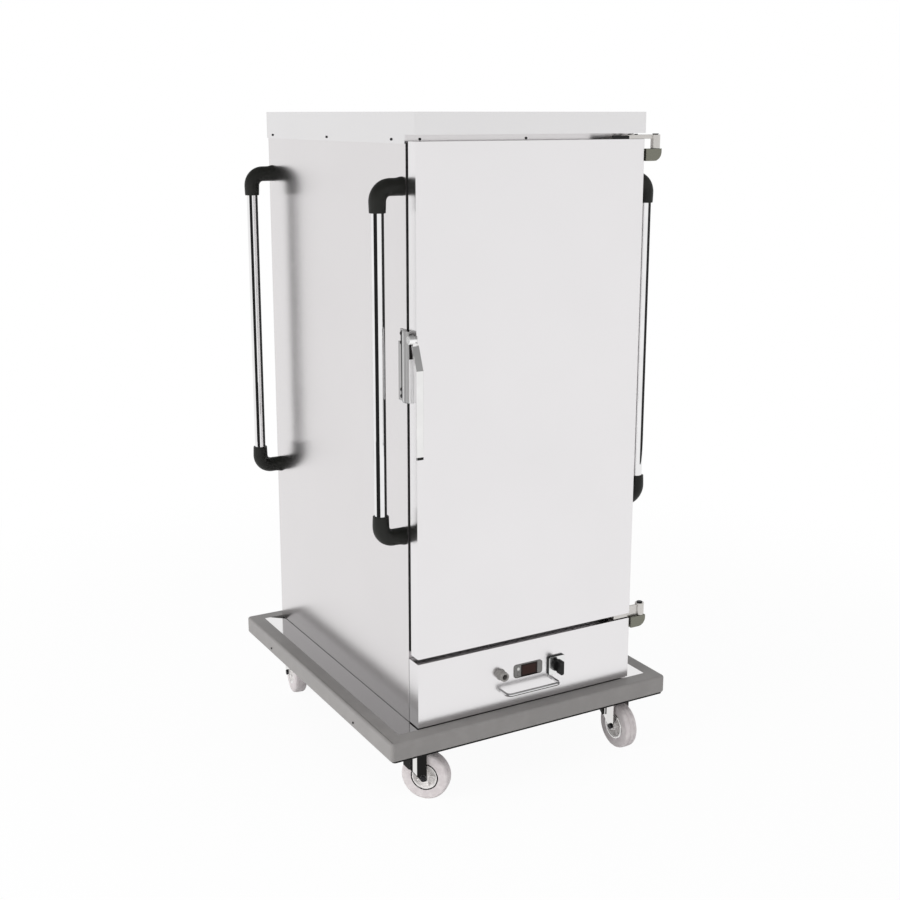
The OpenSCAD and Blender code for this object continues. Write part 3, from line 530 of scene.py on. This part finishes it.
def make_base():
    lo, hi = (Vector(corner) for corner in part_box("bumper"))

    def on_outer_edge(a, b):
        level = abs(a.z - b.z) < 0.0001
        far = all(min(p.x - lo.x, hi.x - p.x, p.y - lo.y, hi.y - p.y) < 12 * MM for p in (a, b))
        return level and far

    softened("bumper", 6.5 * MM, 5, on_outer_edge)
    softened("deck_plate", 0.5 * MM)
    softened("chassis")
    # painted shadow: a dark strip under the bumper's outer edge stands for the shade beneath it
    drop = 2.2 * MM
    inset = 1.6 * MM
    reach = 7 * MM
    middle = (lo + hi) / 2
    side_inset = 6 * MM
    outer = rounded_outline(hi.x - lo.x - 2 * side_inset, hi.y - lo.y - 2 * inset, 8 * MM)
    strip = cut_plate("lip", outer, drop)
    only(strip)
    bpy.ops.object.mode_set(mode="EDIT")
    bpy.ops.mesh.select_mode(type="FACE")
    bpy.ops.mesh.select_all(action="DESELECT")
    bpy.ops.object.mode_set(mode="OBJECT")
    for face in strip.data.polygons:
        face.select = abs(face.normal.z) > 0.9
    bpy.ops.object.mode_set(mode="EDIT")
    bpy.ops.mesh.inset(thickness=reach, use_even_offset=True)
    bpy.ops.mesh.bridge_edge_loops()
    bpy.ops.object.mode_set(mode="OBJECT")
    strip.location = (middle.x, middle.y, lo.z - drop / 2 + 0.1 * MM)
    keep(strip, "bumper_painted_shadow", "cart", gasket_black, "gasket_rubber")


def make_foot_line():
    """A thin dark bead along the cabinet's foot, on the deck: painted shade in the seam where the walls
    stand on it.
    """
    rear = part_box("outer_shell")[1][1]
    front = spot(0, 46, 0).y
    for name, x, y, length, turn in (
            ("left", -HALF_WIDTH, (front + rear) / 2, rear - front, math.pi / 2),
            ("right", HALF_WIDTH, (front + rear) / 2, rear - front, math.pi / 2),
            ("rear", 0, rear, 2 * HALF_WIDTH, 0)):
        outline = rounded_outline(length + 1.6 * MM, 1.6 * MM, 0.5 * MM, 2)
        bead = cut_plate("bead", outline, 1.2 * MM, 0.3 * MM)
        bead.matrix_world = Matrix.Translation((x, y, DECK_TOP + 0.5 * MM)) @ Matrix.Rotation(turn, 4, "Z")
        keep(bead, "foot_shade_line_" + name, "cart", foot_shade_grey, "gasket_rubber")


def make_handles():
    """Eight elbows: each a rod that leaves the wall, bends down and grips the tube."""
    wall, reach, bend = 0.0, 62.0, 32.0
    path = [(wall, 1.2), (1.5, 1.2), (5, 0.8), (12, 0.2), (20, 0), (reach - bend, 0)]
    girth = [22.1, 22.0, 21.3, 20.6, 20.4, 20.5]
    turn = arc((reach - bend, -bend), bend, 90, 0, 12)[1:]
    path += turn
    girth += [20.5] * len(turn)
    path += [(reach, -bend - 14), (reach, -bend - 25), (reach, -bend - 26)]
    girth += [20.1, 19.6, 18.9]
    first = bent_rod("elbow", [Vector((x, 0, z)) * MM for x, z in path], 1 * MM, girth, 10)
    first.data.name = "elbow"
    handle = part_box("handle_elbows")
    top, low = handle[1][2] - (22 + 1.2) * MM, handle[0][2] + (22 + 1.2) * MM
    front, rear = handle[0][1] + 22 * MM, handle[1][1] - 22 * MM
    turns = {
        ("right", "top"): Matrix.Identity(4),
        ("right", "low"): Matrix.Rotation(math.pi, 4, "X"),
        ("left", "low"): Matrix.Rotation(math.pi, 4, "Y"),
        ("left", "top"): Matrix.Rotation(math.pi, 4, "Z"),
    }
    for (side, end), rotation in turns.items():
        for place, y in (("front", front), ("rear", rear)):
            piece = first.copy()
            piece.data = first.data.copy()
            bpy.context.scene.collection.objects.link(piece)
            x = HALF_WIDTH if side == "right" else -HALF_WIDTH
            piece.matrix_world = Matrix.Translation((x, y, top if end == "top" else low)) @ rotation
            keep(piece, f"elbow_{side}_{place}_{end}", "cart", handle_black, "black_plastic")
    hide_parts("handle_elbows")
    bpy.data.objects.remove(first)
    softened("handle_tubes")


ARM_SIDES = (3, 31)               # front and rear face of a hinge arm, millimetres behind the door's front


def make_hinges():
    softened("hinge_brackets", 2.0 * MM, 3)
    softened("hinge_arms", 1.2 * MM, 2)
    softened("hinge_pins", 1.0 * MM, 2)
    softened("hinge_arm_screws", 0.5 * MM)
    # painted shade: black plates on the top arm, one from its end along the door's edge and one on the
    # side at the cabinet, stand for the shade in the gap under the cap and darken the arm's reflection in
    # the front frame
    top_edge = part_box("door_skin")[1][2]
    arm_front, arm_back = ARM_SIDES
    for name, inset, length, y in (
            ("arm_end_shade_plate", 71.5, 52, arm_front - 0.3),
            ("arm_back_shade_plate", 18, 34, arm_back + 0.3)):
        plate = cut_plate(name, rounded_outline(length * MM, 8 * MM, 0.6 * MM, 2), 0.8 * MM, 0.1 * MM)
        plate.matrix_world = Matrix.Translation((
            HALF_WIDTH - inset * MM, spot(0, y, 0).y, top_edge + 4.1 * MM)) @ FACING_FRONT
        keep(plate, name, "door", knob_black, "black_plastic")


def make_latch():
    softened("latch_strike", 0.9 * MM)
    softened("latch_housing", 1.0 * MM)
    softened("latch_lever", 0.5 * MM, 2, smooth=12)
    softened("latch_pin", 0.5 * MM)
    lo, hi = (Vector(corner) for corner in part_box("latch_strike"))
    plate_face = lo.x + 7.8 * MM

    def side_bar(name, face, y, z0, z1, width, material, slot):
        outline = rounded_outline(width * MM, z1 - z0, width * 0.3 * MM, 2)
        bar = cut_plate(name, outline, 0.7 * MM, 0.1 * MM)
        bar.matrix_world = (Matrix.Translation((face - 0.2 * MM, spot(0, y, 0).y, (z0 + z1) / 2))
                            @ Matrix.Rotation(-math.pi / 2, 4, "Z") @ FACING_FRONT)
        keep(bar, name, "cart", material, slot)

    side_bar("strike_slot", plate_face, 69.0, lo.z + 6 * MM, hi.z - 9 * MM, 2.6,
             gasket_black, "gasket_rubber")
    # painted highlight: a bright strip on the strike's outer face stands for the light along its raised
    # edge
    side_bar("strike_edge_highlight", lo.x, 45.5, lo.z + 3 * MM, hi.z - 5 * MM, 3.0, bright_plate, "steel")
    # round black heads of the strike's four screws
    for i, rise in enumerate((11, 27, 140, 162)):
        head = turned("head", [(x * MM, z * MM) for x, z in (
            (0, 0), (4.4, 0), (4.4, 0.7), (3.6, 1.5), (2.2, 1.9), (1.4, 1.9), (1.2, 1.3), (0, 1.3))], 24)
        head.matrix_world = (Matrix.Translation((plate_face, spot(0, 71.5, 0).y, lo.z + rise * MM))
                             @ Matrix.Rotation(-math.pi / 2, 4, "Y"))
        keep(head, f"strike_screw_{i}", "cart", knob_black, "steel")
    # round boss on the lever's pin
    low, high = (Vector(corner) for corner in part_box("latch_lever"))
    boss_r = 10.4
    boss = turned("boss", [(x * MM, z * MM) for x, z in (
        (0, 0), (boss_r, 0), (boss_r, 12.5), (boss_r - 1.2, 13.7), (3.2, 13.7), (2.6, 13.1),
        (0, 13.1))], 48)
    boss.matrix_world = (Matrix.Translation((low.x + 7 * MM, DOOR_FRONT, high.z - 10 * MM))
                         @ Matrix.Rotation(-math.pi / 2, 4, "Y"))
    keep(boss, "lever_boss", "lever", bright_edge, "polished_steel")
    tip = cut_plate("tip", rounded_outline(18.4 * MM, 4.6 * MM, 1.6 * MM), 7 * MM, 0.8 * MM)
    tip.location = (high.x - 9 * MM, low.y + 2 * MM, low.z + 3.6 * MM)
    keep(tip, "lever_tip", "lever", knob_black, "black_plastic")
    # front edge of the housing: a bright strip, which is a painted highlight, with a dark slot above it,
    # which is painted shadow between the lever and the housing
    edge_x = -HALF_WIDTH - 5.5 * MM
    edge_y = spot(0, 17.3, 0).y
    low_z, split_z, top_z = lo.z + 3.5 * MM, lo.z + 108 * MM, lo.z + 148 * MM
    for name, z0, z1, width, material, slot in (
            ("housing_highlight_strip", low_z, split_z, 10.6, bright_edge, "steel"),
            ("housing_shadow_slot", split_z, top_z, 8.0, gasket_black, "gasket_rubber")):
        strip = cut_plate(name, rounded_outline(width * MM, z1 - z0, 1.5 * MM, 3), 0.8 * MM, 0.15 * MM)
        strip.matrix_world = Matrix.Translation((edge_x, edge_y, (z0 + z1) / 2)) @ FACING_FRONT
        keep(strip, name, "door", material, slot)


def make_controls():
    softened("thermostat_bezel", 0.8 * MM, 3)
    softened("cable_gland", 0.6 * MM, 2)
    softened("switch_plate", 0.9 * MM, 3)
    softened("switch_knob", 1.4 * MM, 3)
    softened("key_up", 0.5 * MM)
    softened("key_down", 0.5 * MM)
    lo, hi = (Vector(corner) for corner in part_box("switch_plate"))
    face = cut_plate("face", rounded_outline(47.8 * MM, 47.8 * MM, 3.6 * MM), 1.3 * MM, 0.4 * MM)
    face.matrix_world = Matrix.Translation((
        (lo.x + hi.x) / 2, lo.y + 0.55 * MM, (lo.z + hi.z) / 2)) @ FACING_FRONT
    keep(face, "switch_face", "heater", bright_plate, "steel")
    lo, hi = (Vector(corner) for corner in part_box("drawer_pull"))
    rod = (hi.z - lo.z) / 2
    left, right, out = lo.x + rod, hi.x - rod, lo.y + rod
    foot = spot(0, -0.2, 0).y
    bend = 12 * MM
    path = [(left, foot), (left, out + bend)]
    path += arc((left + bend, out + bend), bend, 180, 270)
    path += arc((right - bend, out + bend), bend, 270, 360)
    path += [(right, foot)]
    pull = bent_rod("pull", [(x, y, (lo.z + hi.z) / 2) for x, y in path], rod, sides=8)
    keep(pull, "drawer_pull_rod", "heater", mirror_tube, "polished_steel", "drawer_pull")


# ---------- castors ----------


def castor_frame(key):
    """The castor's own axes: X along its heading from the pivot, Y across, Z up from the floor."""
    pivot = Vector(joints["swivel_" + key]["pos_m"])
    axle = Vector(joints["roll_" + key]["pos_m"])
    heading = math.atan2(axle.y - pivot.y, axle.x - pivot.x)
    trail = (axle - pivot).xy.length
    return Matrix.Translation((pivot.x, pivot.y, 0)) @ Matrix.Rotation(heading, 4, "Z"), trail, axle.z


FORK_HALF = 25.5 * MM             # from the wheel's middle to a fork leg's outside


def wheel_profiles(half, bore, rim, crown):
    """Profiles of the tyre, the rim and its bright ring, for a wheel of one half width."""
    tyre = [(rim, -half + 5), (rim + 1.2, -half + 0.6), (rim + 2.4, -half), (crown - 13, -half - 0.0)]
    shoulder = arc((crown - 9, -half + 8), 8.6, -90, -8, 7)
    shoulder = [(r, max(z, -half)) for r, z in shoulder]
    tread = [(crown - 0.1, -6.4), (crown - 0.9, -6.0), (crown - 0.9, -5.2),
             (crown - 0.05, -4.8), (crown, 0)]
    side = tyre + shoulder + tread
    tyre = side + [(r, -z) for r, z in reversed(side[:-1])]
    flange = [(bore, -half - 3.5), (11, -half - 3.5), (12.5, -half - 2.8), (14, -6),
              (rim - 9, -5), (rim - 6, -half + 3), (rim - 4.5, -half + 0.4),
              (rim - 0.3, -half + 0.2), (rim, -half + 4)]
    disc = flange + [(r, -z) for r, z in reversed(flange)]
    ring = [(rim - 2.6, -half + 0.3), (rim - 2.2, -half - 0.35),
            (rim + 0.6, -half - 0.35), (rim + 1.1, -half + 0.3)]
    return tyre, disc, ring


def make_wheel(key, profiles):
    frame_at, trail, axle_z = castor_frame(key)
    hub = frame_at @ Matrix.Translation((trail, 0, axle_z)) @ Matrix.Rotation(-math.pi / 2, 4, "X")
    tyre, disc, ring = profiles
    for name, profile, material, slot, stands_for in (
            ("tyre_tread_", tyre, tyre_rubber, "tyre", ["tyre_" + key]),
            ("rim_disc_", disc, rim_plastic, "rim", ["rim_" + key])):
        piece = turned(name, [(r * MM, z * MM) for r, z in profile])
        piece.matrix_world = hub
        keep(piece, name + key, "wheel_" + key, material, slot, *stands_for)
    for side, flip in (("near", Matrix.Identity(4)), ("far", Matrix.Rotation(math.pi, 4, "X"))):
        piece = turned("ring", [(r * MM, z * MM) for r, z in ring])
        piece.matrix_world = hub @ flip
        keep(piece, f"rim_ring_{side}_{key}", "wheel_" + key, mirror_zinc, "zinc")
        for i in range(5):
            rib = cut_plate("rib", rounded_outline(15 * MM, 3.2 * MM, 1.2 * MM, 3), 7 * MM, 0.8 * MM)
            rib.matrix_world = (hub @ flip @ Matrix.Rotation(math.tau * i / 5, 4, "Z")
                                @ Matrix.Translation((19.5 * MM, 0, -9 * MM)))
            keep(rib, f"rim_rib_{side}_{i}_{key}", "wheel_" + key, rim_plastic, "rim")


def make_fork(key):
    """The pressed fork, with a ridge on each leg, and the axle's round caps."""
    frame_at, trail, axle_z = castor_frame(key)
    softened("fork_" + key, 0.8 * MM)
    softened("axle_" + key, 1.6 * MM, 3)
    for name, side in (("near", -1), ("far", 1)):
        outline = [(p * MM, q * MM) for p, q in ((16, 0), (52.6, 0), (30, 4.2), (28.5, 4.2))]
        ridge = cut_plate("ridge", outline, 78 * MM, 0.1 * MM)
        ridge.matrix_world = Matrix((
            (1, 0, 0, 0), (0, side, 0, side * FORK_HALF), (0, 0, 1, 97 * MM), (0, 0, 0, 1)))
        only(ridge)
        bpy.ops.object.transform_apply(location=True, rotation=True, scale=True)
        bpy.ops.object.mode_set(mode="EDIT")
        # its lower end follows the leg's slanted edge
        for corner, normal in (
                ((23 * MM, 0, 72 * MM), (-0.55, 0, -0.84)),
                ((40 * MM, 0, 61 * MM), (0, 0, -1))):
            bpy.ops.mesh.select_all(action="SELECT")
            bpy.ops.mesh.bisect(plane_co=corner, plane_no=normal, clear_outer=True, use_fill=True)
        bpy.ops.mesh.select_all(action="SELECT")
        bpy.ops.mesh.normals_make_consistent(inside=False)
        bpy.ops.object.mode_set(mode="OBJECT")
        ridge.matrix_world = frame_at
        keep(ridge, f"fork_ridge_{name}_{key}", "castor_" + key, mirror_zinc, "zinc", smooth=8)


def make_castors():
    profiles = wheel_profiles(18.0, 6.1, 35.0, 62.5)
    for key in ("fl", "fr", "rl", "rr"):
        make_wheel(key, profiles)
        make_fork(key)
    for key in ("fl", "fr"):
        softened("brake_" + key, 1.0 * MM)
    softened("castor_plates", 0.6 * MM)


make_cabinet()
make_base()
make_foot_line()
make_handles()
make_hinges()
make_latch()
make_controls()
make_castors()
softened("body_screws", 0.4 * MM)
softened("bumper_screws", 0.4 * MM)

# ---------- camera ----------

CAMERA_AT = (-1.7318, -3.0924, 1.692)
CAMERA_YAW = 29.34
CAMERA_PITCH = 12.86
PHOTO_WIDTH = 900
FOCAL_PX = 1318.4
CENTRE_PX = (446.5, 414.4)


def add_camera():
    data = bpy.data.cameras.new("photo_camera")
    camera = bpy.data.objects.new("photo_camera", data)
    bpy.context.scene.collection.objects.link(camera)
    yaw, pitch = math.radians(CAMERA_YAW), math.radians(CAMERA_PITCH)
    look = Vector((math.sin(yaw) * math.cos(pitch), math.cos(yaw) * math.cos(pitch), -math.sin(pitch)))
    camera.location = CAMERA_AT
    camera.rotation_euler = look.to_track_quat("-Z", "Y").to_euler()
    data.sensor_width = 36
    data.lens = 36 * FOCAL_PX / PHOTO_WIDTH
    data.shift_x = 0.5 - CENTRE_PX[0] / PHOTO_WIDTH
    data.shift_y = CENTRE_PX[1] / PHOTO_WIDTH - 0.5
    data.clip_end = 60
    bpy.context.scene.camera = camera


# ---------- studio ----------

SHADOW_REACH = (1.2, 2.6)       # metres from the cart over which the floor fades to pure white
FLOOR_WHITE = 0.95              # share of plain white in the floor near the cart
SIDE_LIGHT = 0.80               # level of the world near the horizon, on what isn't a mirror
TOP_LIGHT = 0.62                # and overhead
CEILING = 0.30                  # level of the ceiling as seen in metal
CARD_RADIUS = 3.4


def add_floor():
    bpy.ops.object.select_all(action="DESELECT")
    bpy.ops.mesh.primitive_circle_add(vertices=96, radius=14, fill_type="NGON", location=(0, 0, 0))
    floor = bpy.context.object
    floor.name = "floor"
    f = Finish("pale_floor", (0.86, 0.86, 0.86), 0.9)
    x, y = f.axis("X"), f.axis("Y")
    away = (x * x + y * y).math("SQRT").between(*SHADOW_REACH)
    plain = f.seen_directly() * (FLOOR_WHITE + away * (1 - FLOOR_WHITE))
    glow = f.add("ShaderNodeEmission", None, {"Color": (1, 1, 1, 1), "Strength": 1.0})
    lit = Value(f, f.shader.outputs[0])
    f.surface(f.add("ShaderNodeMixShader", None, {0: plain, 1: lit, 2: glow}))
    paint(floor, f.material)


def add_card(name, start, end, level, radius=CARD_RADIUS, height=2.6):
    """A dark studio card round part of the cart, seen only in mirror-bright metal.

    Its ends are given in degrees from the front, positive towards the cart's left.
    """
    bpy.ops.object.select_all(action="DESELECT")
    bpy.ops.mesh.primitive_cylinder_add(
        vertices=144, radius=radius, depth=height, end_fill_type="NOTHING",
        location=(0, 0, height / 2 + 0.02))
    card = bpy.context.object
    card.name = name
    for face in card.data.polygons:
        middle = face.center
        angle = math.degrees(math.atan2(-middle.x, -middle.y))
        face.select = not start < angle < end
    bpy.ops.object.mode_set(mode="EDIT")
    bpy.ops.mesh.select_mode(type="FACE")
    bpy.ops.mesh.delete(type="FACE")
    bpy.ops.object.mode_set(mode="OBJECT")
    dark_card(card, level)


def dark_card(card, level):
    f = Finish(card.name, (level, level, level), 1.0)
    clear = f.add("ShaderNodeBsdfTransparent")
    dark = f.add("ShaderNodeEmission", None, {"Color": (level, level, level, 1), "Strength": 1.0})
    f.surface(f.add("ShaderNodeMixShader", None, {0: f.ray("Is Singular Ray"), 1: clear, 2: dark}))
    paint(card, f.material)
    card.visible_camera = False
    card.visible_diffuse = False
    card.visible_shadow = False


def add_floor_card(name, x0, x1, y0, y1, level):
    """A dark card on the floor, seen only in mirror-bright metal."""
    bpy.ops.object.select_all(action="DESELECT")
    bpy.ops.mesh.primitive_plane_add(size=1, location=((x0 + x1) / 2, (y0 + y1) / 2, 0.001))
    card = bpy.context.object
    card.scale = (x1 - x0, y1 - y0, 1)
    bpy.ops.object.transform_apply(location=True, rotation=True, scale=True)
    card.name = name
    dark_card(card, level)


def add_wall_card(name, place, level):
    """A dark card on the left wall beside a handle, seen only in its mirror-bright tube."""
    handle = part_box("handle_tubes")
    tube_r = 15 * MM
    y = handle[0][1] + tube_r if place == "front" else handle[1][1] - tube_r
    reach = (-0.065, 0.16)
    bpy.ops.object.select_all(action="DESELECT")
    bpy.ops.mesh.primitive_plane_add(size=1, location=(
        -HALF_WIDTH - 1 * MM, y + (reach[0] + reach[1]) / 2, (handle[0][2] + handle[1][2]) / 2))
    card = bpy.context.object
    card.rotation_euler = (0, math.pi / 2, 0)
    card.scale = (handle[1][2] - handle[0][2] + 0.3, reach[1] - reach[0], 1)
    bpy.ops.object.transform_apply(location=True, rotation=True, scale=True)
    card.name = name
    dark_card(card, level)


def add_world():
    """White all round; the ceiling is darker in metal, and dimmer on the rest."""
    world = bpy.data.worlds.new("studio")
    bpy.context.scene.world = world
    world.use_nodes = True
    w = Shader(world.node_tree)
    direction = w.add("ShaderNodeTexCoord", output="Generated")
    up = w.add("ShaderNodeSeparateXYZ", None, {0: direction}, "Z")
    across = w.add("ShaderNodeSeparateXYZ", None, {0: direction}, "X")
    back = w.add("ShaderNodeSeparateXYZ", None, {0: direction}, "Y")
    behind = (across * 0.5 + back * 0.866).between(0.8, 0.9)
    high = up.between(0.32, 0.5)
    low = up.between(0.10, 0.2)
    ceiling = (low * 0.55 + high * 0.45) * (1 - behind)
    in_metal = 1 - ceiling * (1 - CEILING)
    on_matt = SIDE_LIGHT - up.between(0.1, 0.9) * (SIDE_LIGHT - TOP_LIGHT)
    camera = w.ray("Is Camera Ray").larger(w.ray("Is Transmission Ray"))
    glossy = w.ray("Is Glossy Ray") * (1 - camera)
    level = camera + glossy * in_metal + (1 - glossy) * (1 - camera) * on_matt
    sky = world.node_tree.nodes["Background"]
    sky.inputs["Color"].default_value = (1, 1, 1, 1)
    w.plug(level, sky.inputs["Strength"])


def add_lamp(name, place, target, size, power):
    data = bpy.data.lights.new(name, "AREA")
    data.shape = "RECTANGLE"
    data.size, data.size_y = size
    data.energy = power
    lamp = bpy.data.objects.new(name, data)
    bpy.context.scene.collection.objects.link(lamp)
    lamp.location = place
    lamp.rotation_euler = (Vector(target) - Vector(place)).to_track_quat("-Z", "Y").to_euler()
    lamp.visible_glossy = False


add_camera()
add_floor()
add_card("left_card", 34, 95, 0.02)
add_card("left_low_card", 34, 95, 0.02, 2.2, 0.45)
add_card("right_card", -150, -36, 0.03)
add_wall_card("rear_wall_card", "rear", 0.03)
add_wall_card("front_wall_card", "front", 0.03)
add_floor_card("front_floor_card", -1.6, 1.2, -0.86, -0.49, 0.02)
add_floor_card("left_floor_card", -1.6, 0.1, -0.495, -0.41, 0.02)
add_floor_card("right_floor_card", 0.33, 1.2, -0.42, 0.6, 0.02)
add_world()
add_lamp("left_lamp", (-4.2, -0.6, 1.7), (0, 0, 0.6), (2.2, 2.2), 110)
add_lamp("front_lamp", (0.6, -4.0, 2.2), (0, 0, 0.7), (2.0, 2.0), 25)

bpy.context.scene.view_settings.view_transform = "Standard"
